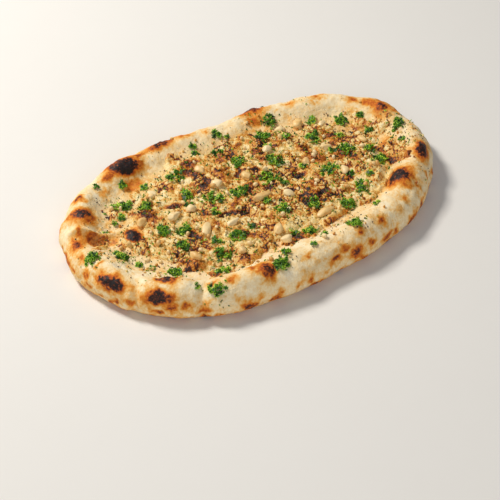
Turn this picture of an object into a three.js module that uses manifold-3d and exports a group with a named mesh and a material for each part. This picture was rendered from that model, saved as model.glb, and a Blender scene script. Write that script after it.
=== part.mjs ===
// A hand-stretched naan with a puffed rim, topped with chopped nuts and curly parsley.
// Units are millimetres, +Z is up and +X runs along the bread. The origin is the middle of the flat
// underside, on the table. The bread is one baked piece. Each nut and each sprig of parsley is a
// piece of its own, pressed into the crust.

import * as THREE from "three";
import { mergeVertices } from "three/addons/utils/BufferGeometryUtils.js";
import Module from "manifold-3d";

const wasm = await Module();
wasm.setup();

// ---- Driving dimensions of the bread ----

const LENGTH = 290; // from tip to tip, along X
const WIDTH = 175; // across, along Y
const MIDDLE_THICKNESS = 13; // of the sunken middle that holds the topping
const BELLY_HEIGHT = 8; // of the outermost edge above the table
const BASE_INSET = 9; // from the outermost edge in to where the crust leaves the table
const OUTLINE_POWER = 2.2; // 2 is an ellipse, and more is squarer

// The puffed rim on each side: how high its crest stands above the table, how far the crest is in
// from the outermost edge, and how much further in the crust has sunk to the middle.
const RIM = {
  front: { height: 24, crestInset: 17, fall: 22 },
  back: { height: 19, crestInset: 10, fall: 20 },
  left: { height: 22, crestInset: 14, fall: 22 },
  right: { height: 23, crestInset: 15, fall: 24 },
};

// How the hand-stretched outline wanders from that curve: waves round the bread, size as a share of
// the radius, and how far on the wave starts, in degrees of its own turn.
const OUTLINE_WAVES = [
  { waves: 2, size: 0.015, start: -10 },
  { waves: 3, size: 0.025, start: 47 },
  { waves: 4, size: 0.01, start: 148 },
  { waves: 5, size: 0.008, start: 58 },
];

// Puffs, hollows and folds of the crust: middle as shares of the half length and half width, turn in
// degrees, then length, breadth and height in millimetres. A height under 0 is a hollow.
const SWELLS = [
  { along: -0.78, across: 0.54, turn: 30, length: 15, breadth: 12, height: 3.5 },
  { along: -0.83, across: 0.24, turn: 15, length: 12, breadth: 7, height: -3.5 },
  { along: -0.77, across: 0.36, turn: -25, length: 12, breadth: 5, height: 2.5 },
  { along: -0.65, across: 0.14, turn: 0, length: 8, breadth: 7, height: 3 },
  { along: -0.93, across: -0.18, turn: 60, length: 15, breadth: 10, height: 1.5 },
  { along: -0.78, across: -0.54, turn: -40, length: 16, breadth: 12, height: 3 },
  { along: -0.6, across: -0.75, turn: 32, length: 14, breadth: 5, height: -3 },
  { along: -0.49, across: 0.64, turn: 10, length: 18, breadth: 10, height: -2.5 },
  { along: -0.43, across: 0.9, turn: 8, length: 13, breadth: 9, height: 2.5 },
  { along: 0.3, across: 0.76, turn: -8, length: 17, breadth: 9, height: -2.5 },
  { along: 0.3, across: 0.94, turn: -8, length: 15, breadth: 8, height: 1.5 },
  { along: 0.56, across: -0.37, turn: 45, length: 15, breadth: 6, height: 4 },
  { along: 0.67, across: -0.3, turn: 50, length: 11, breadth: 5, height: -2 },
  { along: 0.69, across: -0.48, turn: 30, length: 15, breadth: 12, height: 2.5 },
  { along: 0.87, across: -0.27, turn: 55, length: 15, breadth: 10, height: 2 },
  { along: 0.9, across: 0.36, turn: -50, length: 14, breadth: 10, height: 1.5 },
  { along: 0.72, across: 0.7, turn: -30, length: 16, breadth: 9, height: 1.5 },
  { along: -0.3, across: -0.8, turn: -4, length: 20, breadth: 12, height: 1.5 },
  { along: 0.02, across: -0.84, turn: 0, length: 11, breadth: 10, height: -1.2 },
  { along: 0.26, across: -0.82, turn: 5, length: 18, breadth: 12, height: 1.5 },
  { along: -0.33, across: -0.1, turn: 42, length: 14, breadth: 4, height: 1.8 },
  { along: 0.15, across: 0.3, turn: 20, length: 20, breadth: 14, height: 1.8 },
  { along: -0.14, across: -0.1, turn: -30, length: 16, breadth: 12, height: -1.5 },
  { along: 0.33, across: -0.12, turn: 35, length: 18, breadth: 12, height: 1.6 },
  { along: -0.3, across: 0.32, turn: 0, length: 18, breadth: 12, height: 1.5 },
  { along: 0.0, across: -0.42, turn: 10, length: 16, breadth: 11, height: 1.4 },
  { along: 0.5, across: 0.2, turn: 0, length: 15, breadth: 12, height: -1.4 },
];

// How finely the crust is divided.
const SPOKES = 92; // faces round the bread
const MIDDLE_RINGS = 13; // over the sunken middle
const FALL_RINGS = 5; // down the inside of the rim
const SHOULDER_RINGS = 5; // from the outermost edge up to the crest
const UNDER_RINGS = 3; // from the table out to the outermost edge

// ---- Driving dimensions of the topping ----

const SEAT_GAP = 0.3; // between the crust and what is pressed into it
const NUT_LENGTH = 9; // of a typical piece of nut
const NUT_WIDTH = 6.5;
const NUT_HEIGHT = 6;
const NUT_SUNK = 0.3; // share of its height that is pressed into the crust
const NUT_BUMP = 0.1; // how uneven a chopped nut is, as a share of its radius
const SPRIG_SPREAD = 13; // across a typical sprig of parsley
const SPRIG_HEIGHT = 5;
const SPRIG_SUNK = 0.25;
const SPRIG_LOBES = 5; // leaflets round a sprig
const SPRIG_LOBE_DEPTH = 0.2; // how far the gaps between leaflets cut in, as a share of the radius

// Pieces of nut: middle as shares of the half length and half width, turn in degrees, and size and
// slenderness beside the typical one.
const NUTS = [
  { along: -0.44, across: 0.11, turn: 10, size: 1.05, slender: 1.3 },
  { along: -0.34, across: 0.13, turn: 60, size: 0.95, slender: 1 },
  { along: -0.15, across: 0.49, turn: 80, size: 1.0, slender: 1.1 },
  { along: -0.23, across: -0.19, turn: 12, size: 1.0, slender: 1.4 },
  { along: -0.07, across: -0.45, turn: 30, size: 1.05, slender: 1 },
  { along: -0.08, across: -0.6, turn: 150, size: 1.05, slender: 1.1 },
  { along: 0.19, across: -0.49, turn: 8, size: 1.2, slender: 1.9 },
  { along: 0.38, across: 0.59, turn: 0, size: 0.9, slender: 1.2 },
  { along: 0.48, across: 0.57, turn: 35, size: 1.15, slender: 1.1 },
  { along: 0.22, across: 0.4, turn: 20, size: 0.95, slender: 1 },
  { along: 0.02, across: 0.22, turn: 75, size: 1.1, slender: 1 },
  { along: -0.36, across: -0.15, turn: 50, size: 1.25, slender: 1.8 },
  { along: -0.01, across: -0.07, turn: 5, size: 1.3, slender: 2 },
  { along: -0.3, across: -0.51, turn: 40, size: 0.8, slender: 1 },
  { along: 0.46, across: -0.15, turn: 65, size: 1.0, slender: 1.2 },
  { along: 0.68, across: 0.09, turn: 100, size: 0.85, slender: 1.1 },
  { along: -0.59, across: 0.2, turn: 20, size: 0.95, slender: 1.1 },
  { along: -0.43, across: 0.47, turn: 140, size: 0.8, slender: 1 },
  { along: 0.58, across: 0.44, turn: 25, size: 0.75, slender: 1.3 },
  { along: 0.11, across: -0.16, turn: 120, size: 0.9, slender: 1.1 },
  { along: 0.33, across: 0.1, turn: 45, size: 0.9, slender: 1.2 },
  { along: -0.51, across: -0.38, turn: 115, size: 0.95, slender: 1.2 },
  { along: 0.49, across: 0.19, turn: 160, size: 0.85, slender: 1.2 },
  { along: -0.14, across: 0.27, turn: 15, size: 1.1, slender: 1.1 },
];

// Sprigs of parsley, written in the same way.
const SPRIGS = [
  { along: -0.93, across: -0.01, turn: 20, size: 0.9, slender: 1.3 },
  { along: -0.79, across: -0.03, turn: 85, size: 0.9, slender: 1.2 },
  { along: -0.63, across: -0.4, turn: 120, size: 0.85, slender: 1.3 },
  { along: -0.56, across: -0.8, turn: 150, size: 0.95, slender: 1.4 },
  { along: -0.45, across: -0.62, turn: 0, size: 0.9, slender: 1 },
  { along: -0.58, across: 0.49, turn: 160, size: 1.15, slender: 1.2 },
  { along: -0.51, across: 0.35, turn: 95, size: 0.8, slender: 1.3 },
  { along: -0.28, across: 0.54, turn: 100, size: 1.2, slender: 1 },
  { along: -0.21, across: 0.15, turn: 170, size: 1.35, slender: 1.3 },
  { along: -0.53, across: 0.04, turn: 100, size: 0.9, slender: 1.2 },
  { along: -0.45, across: -0.05, turn: 30, size: 0.85, slender: 1.1 },
  { along: -0.51, across: -0.2, turn: 150, size: 0.9, slender: 1 },
  { along: -0.26, across: -0.34, turn: 80, size: 1.15, slender: 1.1 },
  { along: -0.38, across: -0.44, turn: 130, size: 1.0, slender: 1.2 },
  { along: -0.22, across: -0.86, turn: 65, size: 0.95, slender: 1.2 },
  { along: 0.04, across: -0.63, turn: 120, size: 0.85, slender: 1.1 },
  { along: 0.21, across: -0.82, turn: 150, size: 0.85, slender: 1.6 },
  { along: 0.32, across: -0.49, turn: 120, size: 1.15, slender: 1 },
  { along: 0.45, across: -0.39, turn: 60, size: 1.1, slender: 1.2 },
  { along: 0.18, across: -0.35, turn: 25, size: 0.95, slender: 1.4 },
  { along: 0.03, across: -0.29, turn: 45, size: 1.1, slender: 1 },
  { along: 0.39, across: -0.09, turn: 50, size: 1.3, slender: 1.1 },
  { along: 0.65, across: -0.21, turn: 20, size: 1.2, slender: 1.2 },
  { along: 0.87, across: 0.02, turn: 25, size: 0.95, slender: 1.4 },
  { along: 0.57, across: 0.07, turn: 100, size: 1.1, slender: 1.2 },
  { along: 0.69, across: 0.41, turn: 90, size: 0.95, slender: 1.2 },
  { along: 0.48, across: 0.35, turn: 70, size: 1.1, slender: 1.1 },
  { along: 0.21, across: 0.25, turn: 130, size: 1.3, slender: 1.1 },
  { along: 0.05, across: 0.41, turn: 20, size: 1.15, slender: 1.3 },
  { along: 0.1, across: 0.1, turn: 60, size: 1.3, slender: 1.2 },
  { along: -0.07, across: 0.09, turn: 40, size: 1.2, slender: 1 },
  { along: 0.27, across: 0.57, turn: 30, size: 1.1, slender: 1.2 },
  { along: 0.37, across: 0.73, turn: 75, size: 0.95, slender: 1.3 },
];

// ---- Materials ----

const crust = new THREE.MeshStandardMaterial({ color: 0xe3c08a, roughness: 0.8, metalness: 0 });
const nut = new THREE.MeshStandardMaterial({ color: 0xe8c98f, roughness: 0.5, metalness: 0 });
const parsley = new THREE.MeshStandardMaterial({ color: 0x2f6b1e, roughness: 0.6, metalness: 0 });

// ---- Solids ----

// The closed solid of a geometry, with its shared corners merged.
function solidOf(geometry) {
  const bare = geometry.clone();
  bare.deleteAttribute("normal");
  bare.deleteAttribute("uv");
  const merged = mergeVertices(bare, 1e-4);
  const vertProperties = merged.attributes.position.array;
  const triVerts = new Uint32Array(merged.index.array);
  return new wasm.Manifold(new wasm.Mesh({ numProp: 3, vertProperties, triVerts }));
}

// The geometry of a solid.
function geometryOf(solid) {
  const mesh = solid.getMesh();
  const geometry = new THREE.BufferGeometry();
  geometry.setAttribute("position", new THREE.BufferAttribute(mesh.vertProperties, mesh.numProp));
  geometry.setIndex(new THREE.BufferAttribute(mesh.triVerts, 1));
  geometry.computeVertexNormals();
  return geometry;
}

// A mesh with a place in the part's group and a name.
function named(name, geometry, material) {
  const mesh = new THREE.Mesh(geometry, material);
  mesh.name = name;
  return mesh;
}

// Moves each corner of a geometry to where change says, given its place.
function reshape(geometry, change) {
  const position = geometry.attributes.position;
  const corner = new THREE.Vector3();
  for (let i = 0; i < position.count; i++) {
    change(corner.fromBufferAttribute(position, i));
    position.setXYZ(i, corner.x, corner.y, corner.z);
  }
  return geometry;
}

// ---- The bread ----

// How far the outline is from the middle, at an angle round the bread.
function outlineRadius(angle) {
  const along = Math.abs(Math.cos(angle) / (LENGTH / 2)) ** OUTLINE_POWER;
  const across = Math.abs(Math.sin(angle) / (WIDTH / 2)) ** OUTLINE_POWER;
  const wave = OUTLINE_WAVES.reduce(
    (sum, w) => sum + w.size * Math.cos(w.waves * angle - THREE.MathUtils.degToRad(w.start)),
    1,
  );
  return wave * (along + across) ** (-1 / OUTLINE_POWER);
}

// A dimension of the rim at an angle, going smoothly from side to side.
function rimAt(angle, key) {
  const along = Math.cos(angle) / LENGTH;
  const across = Math.sin(angle) / WIDTH;
  const share = along ** 2 / (along ** 2 + across ** 2);
  const end = along > 0 ? RIM.right : RIM.left;
  const side = across > 0 ? RIM.back : RIM.front;
  return share * end[key] + (1 - share) * side[key];
}

// What the puffs, hollows and folds add to the crust's height at a point.
function swellAt(x, y) {
  return SWELLS.reduce((sum, s) => {
    const middle = new THREE.Vector2((s.along * LENGTH) / 2, (s.across * WIDTH) / 2);
    const off = new THREE.Vector2(x, y).sub(middle);
    off.rotateAround(new THREE.Vector2(), -THREE.MathUtils.degToRad(s.turn));
    return sum + s.height * Math.exp(-((off.x / s.length) ** 2) - (off.y / s.breadth) ** 2);
  }, 0);
}

// How much of a swell shows at a height: all of it on the top, fading to none at the outermost edge.
function swellShare(height) {
  return THREE.MathUtils.clamp((height - BELLY_HEIGHT) / (MIDDLE_THICKNESS - BELLY_HEIGHT), 0, 1);
}

// The bread's cross-section as steps from the middle of its underside, round the rim and in to the
// middle of its top. Each step is a zone and how far out through that zone it is.
function sectionSteps() {
  const zone = (name, rings) => Array.from({ length: rings }, (_, i) => [name, i / rings]);
  const topmostFirst = [
    ...zone("middle", MIDDLE_RINGS),
    ...zone("fall", FALL_RINGS),
    ...zone("shoulder", SHOULDER_RINGS),
    ...zone("under", UNDER_RINGS),
    ["base", 0],
    ["base", 1],
  ];
  return topmostFirst.reverse();
}

// Where a step of the section lies at an angle: distance from the bread's middle, and height.
function sectionPoint(angle, [zone, through]) {
  const edge = outlineRadius(angle);
  const height = rimAt(angle, "height");
  const crest = edge - rimAt(angle, "crestInset");
  const foot = crest - rimAt(angle, "fall");
  const quarter = (through * Math.PI) / 2;
  if (zone === "middle") return [foot * through, MIDDLE_THICKNESS];
  if (zone === "fall") {
    const rise = THREE.MathUtils.smoothstep(through, 0, 1);
    return [foot + (crest - foot) * through, MIDDLE_THICKNESS + (height - MIDDLE_THICKNESS) * rise];
  }
  if (zone === "shoulder") {
    const out = crest + (edge - crest) * Math.sin(quarter);
    return [out, BELLY_HEIGHT + (height - BELLY_HEIGHT) * Math.cos(quarter)];
  }
  if (zone === "under") {
    return [edge - BASE_INSET * (1 - Math.cos(quarter)), BELLY_HEIGHT * (1 - Math.sin(quarter))];
  }
  return [(edge - BASE_INSET) * (1 - through), 0];
}

// The bread, as a turned blank whose rings are drawn out to the outline and raised to the section.
function breadGeometry() {
  const steps = sectionSteps();
  const last = steps.length - 1;
  const blank = steps.map((_, i) => new THREE.Vector2(i === 0 || i === last ? 0 : 1, i));
  const geometry = new THREE.LatheGeometry(blank, SPOKES);
  geometry.rotateX(Math.PI / 2);
  reshape(geometry, (corner) => {
    const step = steps[Math.round(corner.z)];
    const angle = Math.atan2(corner.y, corner.x);
    const [out, height] = sectionPoint(angle, step);
    corner.x = out * Math.cos(angle);
    corner.y = out * Math.sin(angle);
    corner.z = height + swellShare(height) * swellAt(corner.x, corner.y);
  });
  return squared(geometry);
}

// Brings the outline to its stated length and width, with its middle at the origin.
function squared(geometry) {
  geometry.computeBoundingBox();
  const middle = geometry.boundingBox.getCenter(new THREE.Vector3());
  const size = geometry.boundingBox.getSize(new THREE.Vector3());
  geometry.translate(-middle.x, -middle.y, 0);
  return geometry.scale(LENGTH / size.x, WIDTH / size.y, 1);
}

// ---- The topping ----

const bread = named("naan_bread", geometryOf(solidOf(breadGeometry())), crust);
const seat = solidOf(bread.geometry).translate([0, 0, SEAT_GAP]);
const plumb = new THREE.Raycaster();

// The crust's height at a point, found by dropping a plumb line on it.
function crustAt(x, y) {
  const above = LENGTH;
  plumb.set(new THREE.Vector3(x, y, above), new THREE.Vector3(0, 0, -1));
  return plumb.intersectObject(bread)[0].point.z;
}

// A piece of topping: a shaped ball drawn out to its size, turned, pressed into the crust, and
// trimmed so that its underside follows the crust.
function pressedIn(place, ball, [length, width, height], sunk) {
  const x = (place.along * LENGTH) / 2;
  const y = (place.across * WIDTH) / 2;
  ball.scale(length / 2, width / 2, height / 2);
  ball.rotateZ(THREE.MathUtils.degToRad(place.turn));
  ball.translate(x, y, crustAt(x, y) + height * (0.5 - sunk));
  const trimmed = solidOf(ball).subtract(seat);
  const largest = trimmed.decompose().reduce((a, b) => (a.volume() > b.volume() ? a : b));
  return geometryOf(largest);
}

// A chopped nut: a ball with a few broad dents where the knife and the break left it uneven.
function nutPiece(place, number) {
  const ball = reshape(new THREE.IcosahedronGeometry(1, 1), (corner) => {
    const dent = Math.sin(3 * corner.x + number) + Math.sin(2.5 * corner.y + 2 * number);
    corner.multiplyScalar(1 - NUT_BUMP / 2 + (NUT_BUMP / 2) * dent);
  });
  const size = [
    NUT_LENGTH * place.size * Math.sqrt(place.slender),
    (NUT_WIDTH * place.size) / Math.sqrt(place.slender),
    NUT_HEIGHT * place.size,
  ];
  const node = "nut_" + String(number).padStart(2, "0");
  return named(node, pressedIn(place, ball, size, NUT_SUNK), nut);
}

// A sprig of curly parsley, as the lobed mound that its leaflets fill.
function sprig(place, number) {
  const ball = reshape(new THREE.IcosahedronGeometry(1, 1), (corner) => {
    const round = Math.atan2(corner.y, corner.x);
    const gap = (1 - Math.cos(SPRIG_LOBES * round + number)) / 2;
    const lobe = 1 - SPRIG_LOBE_DEPTH * gap;
    corner.x *= lobe;
    corner.y *= lobe;
  });
  const size = [
    SPRIG_SPREAD * place.size * Math.sqrt(place.slender),
    (SPRIG_SPREAD * place.size) / Math.sqrt(place.slender),
    SPRIG_HEIGHT * place.size,
  ];
  const node = "parsley_" + String(number).padStart(2, "0");
  return named(node, pressedIn(place, ball, size, SPRIG_SUNK), parsley);
}

const naan = new THREE.Group();
naan.add(bread);
NUTS.forEach((place, i) => naan.add(nutPiece(place, i + 1)));
SPRIGS.forEach((place, i) => naan.add(sprig(place, i + 1)));

export default naan;
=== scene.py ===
"""A hand-stretched naan, charred in spots, strewn with nut crumb, chopped nuts and curly parsley.

The bread, each large piece of nut and each sprig of parsley stands for its CAD node. The fine
topping is made of joined pieces that lie on the finished crust. Lengths are in metres, and sizes
written with MM are in millimetres.
"""

import math
import random

import bmesh
import bpy
import numpy as np
from mathutils import Euler, Matrix, Quaternion, Vector, noise
from mathutils.bvhtree import BVHTree


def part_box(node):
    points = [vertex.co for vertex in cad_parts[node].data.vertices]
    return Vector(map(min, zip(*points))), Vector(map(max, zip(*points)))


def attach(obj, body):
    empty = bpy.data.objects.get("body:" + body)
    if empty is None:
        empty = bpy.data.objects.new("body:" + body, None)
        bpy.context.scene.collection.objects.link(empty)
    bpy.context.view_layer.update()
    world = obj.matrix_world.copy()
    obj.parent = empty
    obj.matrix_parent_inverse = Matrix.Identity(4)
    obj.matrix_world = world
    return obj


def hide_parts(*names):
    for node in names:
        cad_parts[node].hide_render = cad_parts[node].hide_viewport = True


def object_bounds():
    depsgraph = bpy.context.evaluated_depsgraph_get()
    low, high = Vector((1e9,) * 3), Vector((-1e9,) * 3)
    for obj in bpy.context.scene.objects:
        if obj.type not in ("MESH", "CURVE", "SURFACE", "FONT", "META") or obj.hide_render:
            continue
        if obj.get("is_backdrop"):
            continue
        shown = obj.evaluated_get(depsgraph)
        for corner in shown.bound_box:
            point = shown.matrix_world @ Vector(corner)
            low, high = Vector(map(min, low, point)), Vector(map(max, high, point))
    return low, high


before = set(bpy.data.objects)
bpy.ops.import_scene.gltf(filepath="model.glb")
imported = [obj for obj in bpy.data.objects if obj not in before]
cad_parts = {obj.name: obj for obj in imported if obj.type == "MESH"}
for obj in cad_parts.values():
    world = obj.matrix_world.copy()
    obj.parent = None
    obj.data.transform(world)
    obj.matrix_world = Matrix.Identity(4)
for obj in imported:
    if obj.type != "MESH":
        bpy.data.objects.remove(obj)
cad_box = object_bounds()

MM = 0.001
LOW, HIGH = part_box("naan_bread")
MIDDLE = (LOW + HIGH) / 2
HALF = (HIGH - LOW) / 2

# ---- The crust ----

CRUST_GRAIN = 1.1 * MM  # size of the crust's faces
SOFTENING = 24  # passes that round off the plain solid's edges
PLAN_POWER = 2.2  # how square the bread's outline is
RIM = (0.62, 0.85)  # where the rim starts and is whole: 0 is the middle and 1 is the outline
UPPER = (1.0, 5.0)  # heights in mm between which the flat underside turns into the wall
TOPPING_MIDDLE = (0.02, 0.03)  # of the strewn middle, as shares of the bread
TOPPING_REACH = (0.81, 0.74)
TOPPING_EDGE = (0.66, 1.1)  # where the strewing thins out and ends, as shares of its reach
TOPPING_WANDER = 0.26  # how unevenly it ends
OILED_MIDDLE = (0.04, 0.13)  # of the stretch that the butter soaked, written in the same way
OILED_REACH = (0.84, 0.72)
OILED_EDGE = (0.74, 1.04)
OILED_WANDER = 0.14

# Unevenness of the dough: height, and how far apart its lumps are in mm.
LUMPS = (1.4 * MM, 30)
PUFFS = (2.0 * MM, 21)  # rounded puffs along the rim
WRINKLES = (0.55 * MM, 6)
CLUMPS = (0.9 * MM, 9)  # under the topping
DIMPLES = (0.5 * MM, 9)  # of the underside
BLISTER = 1.2 * MM  # how far a charred blister stands up
CRACKLE = 0.45  # how rough it is, as a share of that
CREASE_END = 0.35  # what is left of a crease at its two ends

# Browning, from 0 for raw dough to 1 for char.
PLAIN_CRUST = 0.12
CRUST_BLOTCH = 0.12
UNDERSIDE = 0.36
UNDERSIDE_BLOTCH = 0.2
UNDERSIDE_SPOT = 0.3
WALL_TOAST = (0.07, 0.26)  # of the rim's outer wall all over, and in its patches
WALL_TOP = (9, 17)  # heights in mm between which that toasting ends
FOOT_TOAST = 0.16  # more of it just above the underside
FOOT_TOP = (2, 8)
HALO = 0.55  # round a charred core
CHAR_PATCHY = 0.14  # how much paler parts of a core are
MARK_DEPTH = 9  # how far round a bend a mark reaches, in mm
MARK_BEND = 2.2  # how far a mark's outline strays from its oval, in mm
MARK_FRAY = 2.6  # how far its edge frays, in mm
CORE_EDGE = (-2.2, 0.8)  # where a core's char fades out, in mm past its oval

# Bubbles that the rim rose in: middle as shares of the bread, length and breadth in mm, turn in
# degrees, and height in mm.
BUBBLES = [
    (-0.78, -0.66, 40, 24, -38, 0.5),
    (-0.92, -0.20, 34, 22, -70, 1.3),
    (-0.84, 0.46, 28, 22, -20, 1.5),
    (-0.46, 0.82, 44, 22, 10, 1.8),
    (-0.12, 0.88, 34, 16, 5, 1.2),
    (0.30, 0.86, 40, 18, -5, 1.4),
    (0.64, -0.52, 34, 26, 20, 1.6),
    (0.85, -0.28, 30, 24, 60, 1.8),
    (0.90, 0.28, 40, 20, 80, 1.4),
    (-0.44, -0.80, 40, 22, -12, 1.6),
    (0.12, -0.86, 60, 22, 2, 1.2),
]

# Charred blisters: middle as shares of the bread, core length and breadth in mm, turn in degrees,
# reach of the browned ring round it in mm, and how dark the core is.
CHARRED = [
    (-0.46, 0.82, 20, 10, -12, 6, 1.0),
    (-0.22, 0.91, 15, 6, 10, 6, 0.88),
    (0.32, 0.89, 10, 6, -20, 6, 0.86),
    (0.88, 0.27, 7, 8, 0, 6, 0.88),
    (-0.82, 0.45, 12, 8, -20, 6, 0.98),
    (-0.78, 0.65, 6, 5, 0, 3, 0.8),
    (-0.93, 0.23, 7, 7, 0, 4, 0.78),
    (-0.66, 0.12, 10, 12, -33, 3, 1.0),
    (-0.93, -0.28, 18, 8, -62, 5, 0.98),
    (-0.715, -0.51, 10, 8, -33, 4, 0.96),
    (-0.80, -0.61, 15, 9, -36, 5, 0.98),
    (-0.31, -0.86, 8, 9, 0, 4, 0.8),
    (0.61, -0.54, 14, 14, -10, 6, 0.98),
    (0.83, -0.38, 14, 8, 50, 5, 0.98),
]

# Toasted marks, written in the same way.
TOASTED = [
    (-0.82, 0.22, 26, 10, -25, 5, 0.56),
    (-0.89, 0.32, 8, 5, 60, 4, 0.56),
    (-0.36, 0.88, 12, 6, 8, 5, 0.56),
    (-0.56, 0.80, 16, 7, 30, 5, 0.55),
    (-0.08, 0.90, 9, 4, 0, 5, 0.6),
    (0.30, 0.78, 13, 8, -20, 6, 0.52),
    (0.66, 0.70, 7, 4, -20, 4, 0.58),
    (0.52, 0.78, 8, 4, -12, 5, 0.55),
    (0.80, 0.50, 7, 5, -45, 4, 0.62),
    (0.85, 0.38, 15, 9, -60, 5, 0.5),
    (0.92, 0.18, 9, 6, -60, 5, 0.52),
    (-0.96, 0.08, 8, 5, 85, 4, 0.5),
    (-0.92, -0.10, 6, 3, 30, 3, 0.6),
    (-0.98, -0.07, 6, 5, 80, 4, 0.58),
    (-0.90, -0.47, 12, 7, -60, 4, 0.5),
    (-0.76, -0.71, 9, 9, 0, 5, 0.6),
    (-0.70, -0.76, 8, 6, 0, 4, 0.58),
    (-0.64, -0.83, 9, 6, 0, 5, 0.56),
    (-0.55, -0.72, 9, 5, -10, 5, 0.48),
    (-0.51, -0.41, 13, 8, -25, 4, 0.62),
    (-0.63, -0.12, 10, 8, -20, 4, 0.62),
    (-0.48, -0.79, 9, 5, 0, 5, 0.52),
    (-0.36, -0.80, 8, 7, 0, 5, 0.56),
    (0.16, -0.98, 10, 8, 0, 6, 0.7),
    (0.04, -0.97, 9, 6, 0, 5, 0.62),
    (0.10, -0.94, 14, 5, 0, 6, 0.52),
    (0.35, -0.86, 8, 6, 0, 4, 0.6),
    (0.21, -0.89, 6, 6, 0, 4, 0.6),
    (0.25, -0.96, 6, 6, 0, 4, 0.58),
    (0.36, -0.94, 12, 7, 0, 5, 0.55),
    (0.43, -0.91, 5, 9, 0, 4, 0.56),
    (0.54, -0.75, 9, 6, -60, 5, 0.44),
    (0.67, -0.68, 3, 8, 0, 4, 0.54),
    (0.76, -0.60, 3, 11, 20, 4, 0.54),
    (0.78, -0.04, 9, 8, 0, 5, 0.6),
    (0.55, -0.32, 7, 6, 0, 4, 0.52),
    (-0.09, -0.89, 5, 4, 0, 4, 0.58),
    (-0.47, 0.67, 18, 10, 10, 6, 0.48),
]

# Creases and thin ridges: from one place to another, half width and height in mm.
CREASES = [
    ((-0.62, -0.72), (-0.65, -0.86), 2.4, -3.0),
    ((-0.55, -0.66), (-0.62, -0.74), 2.5, -1.4),
    ((-0.82, -0.38), (-0.90, -0.54), 2.8, -2.6),
    ((-0.93, 0.37), (-0.82, 0.29), 2.2, 3.0),
    ((-0.84, 0.30), (-0.69, 0.19), 2.2, 3.4),
    ((-0.92, 0.26), (-0.76, 0.15), 4.0, -2.4),
    ((-0.96, 0.60), (-0.82, 0.56), 3.0, -1.2),
    ((0.47, -0.28), (0.61, -0.30), 2.2, 3.6),
    ((0.61, -0.31), (0.49, -0.46), 2.2, 3.4),
    ((0.64, -0.36), (0.54, -0.50), 2.4, -1.8),
    ((0.52, -0.36), (0.56, -0.34), 3.0, -1.6),
    ((0.02, -0.66), (0.14, -0.60), 2.0, -0.8),
    ((0.40, -0.60), (0.56, -0.50), 2.4, -1.0),
    ((-0.64, 0.60), (-0.52, 0.48), 2.6, -0.9),
]

# ---- The topping ----

BED_FACE = 0.8 * MM  # size of the crumb bed's faces
BED_LEVEL = 13  # height in mm of the crust that it lies on
BED_THICKNESS = 1.0 * MM
BED_SUNK = 1.6  # how deep its hollows lie in the crust, in mm
BED_TUCK = 2.6  # how much deeper its edge is tucked in
BED_THINNEST = 0.05  # share of the strewing where it ends
BED_LUMP = (9.0, 2.6)  # lumps, clots and grains that it baked into: size and height in mm
BED_CLOT = (4.4, 2.0)
BED_SPECK = (2.0, 1.2)
BED_BEND = 1.5  # how far the outlines of lumps stray, in mm
BED_SHADED_BELOW = 2.7  # height in mm under which its hollows are darkened with painted shade
BED_SHADED_CLEFT = 0.11  # breadth of the painted shade in the clefts between clots
BED_TOAST = 0.42  # how much darker its toasted stretches are

# Patches of the bed: middle as shares of the bread, length and breadth in mm, turn in degrees,
# height in mm, and tone from 0 for pale to 1 for burnt.
BED_PATCHES = [
    (-0.20, -0.06, 30, 5, -20, -1.2, 1.0),
    (-0.12, -0.11, 8, 5, 20, -0.8, 1.0),
    (-0.39, 0.23, 14, 6, -30, -0.8, 0.95),
    (0.25, 0.01, 12, 6, -25, -1.0, 1.0),
    (0.19, -0.27, 20, 15, -20, -0.4, 0.76),
    (0.18, -0.36, 8, 5, -20, -0.8, 1.0),
    (0.17, 0.43, 10, 8, -30, -0.6, 0.86),
    (0.41, 0.08, 14, 3, -33, -0.8, 1.0),
    (0.58, 0.29, 7, 5, -30, -0.8, 1.0),
    (0.67, 0.26, 12, 4, -25, -0.8, 0.98),
    (0.00, 0.28, 5, 5, 0, -0.8, 0.92),
    (0.46, -0.18, 7, 5, 0, -0.4, 0.85),
    (-0.08, 0.35, 13, 17, 0, 1.2, 0.66),
    (0.39, 0.12, 17, 17, 0, 0.3, 0.64),
    (0.18, -0.11, 11, 6, -33, 0.2, 0.64),
    (0.18, 0.59, 5, 7, 0, 0.3, 0.64),
    (-0.34, 0.44, 8, 9, 0, 0.4, 0.62),
    (0.60, 0.20, 12, 6, -30, 0.0, 0.62),
    (-0.51, -0.42, 16, 10, -33, 1.4, 0.5),
    (0.00, -0.45, 10, 10, 0, 1.0, 0.12),
    (-0.14, 0.16, 12, 9, 0, 0.4, 0.14),
    (-0.30, 0.52, 14, 8, 10, 0.8, 0.16),
    (0.34, 0.62, 22, 10, -10, 0.6, 0.14),
    (0.50, 0.45, 14, 9, -20, 0.6, 0.2),
    (-0.02, 0.58, 12, 8, 0, 0.8, 0.2),
    (-0.44, 0.02, 12, 6, -25, 0.8, 0.2),
    (0.33, -0.20, 14, 7, 10, 0.5, 0.2),
    (0.20, -0.50, 20, 8, -8, 0.5, 0.15),
]

NUT_HEIGHT_SHARE = 0.78  # height of a nut beside its breadth
NUT_TALLEST = 5.6 * MM
NUT_SUNK = 0.22
NUT_CUTS = 8  # flat faces left by the knife
NUT_PLAN = 0.6  # half a kernel's length, with what the knife will take off it
NUT_TOP = 0.66
NUT_LEAN = 0.2  # radians
KNIFE_DEPTH = (0.55, 0.85)  # how far from a kernel's middle the knife passes
KNIFE_FLATNESS = 0.93  # share that it takes off of what is past it

CRUMBS = 3200  # grains of each kind that are strewn
NUT_CHIPS = 90
SEEDS = 760
FLECKS = 1150
BATCH = 50  # crumbs that are made together
STREWN_LIMIT = (0.95, 0.93)  # shares of the bread past which nothing lies

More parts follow.
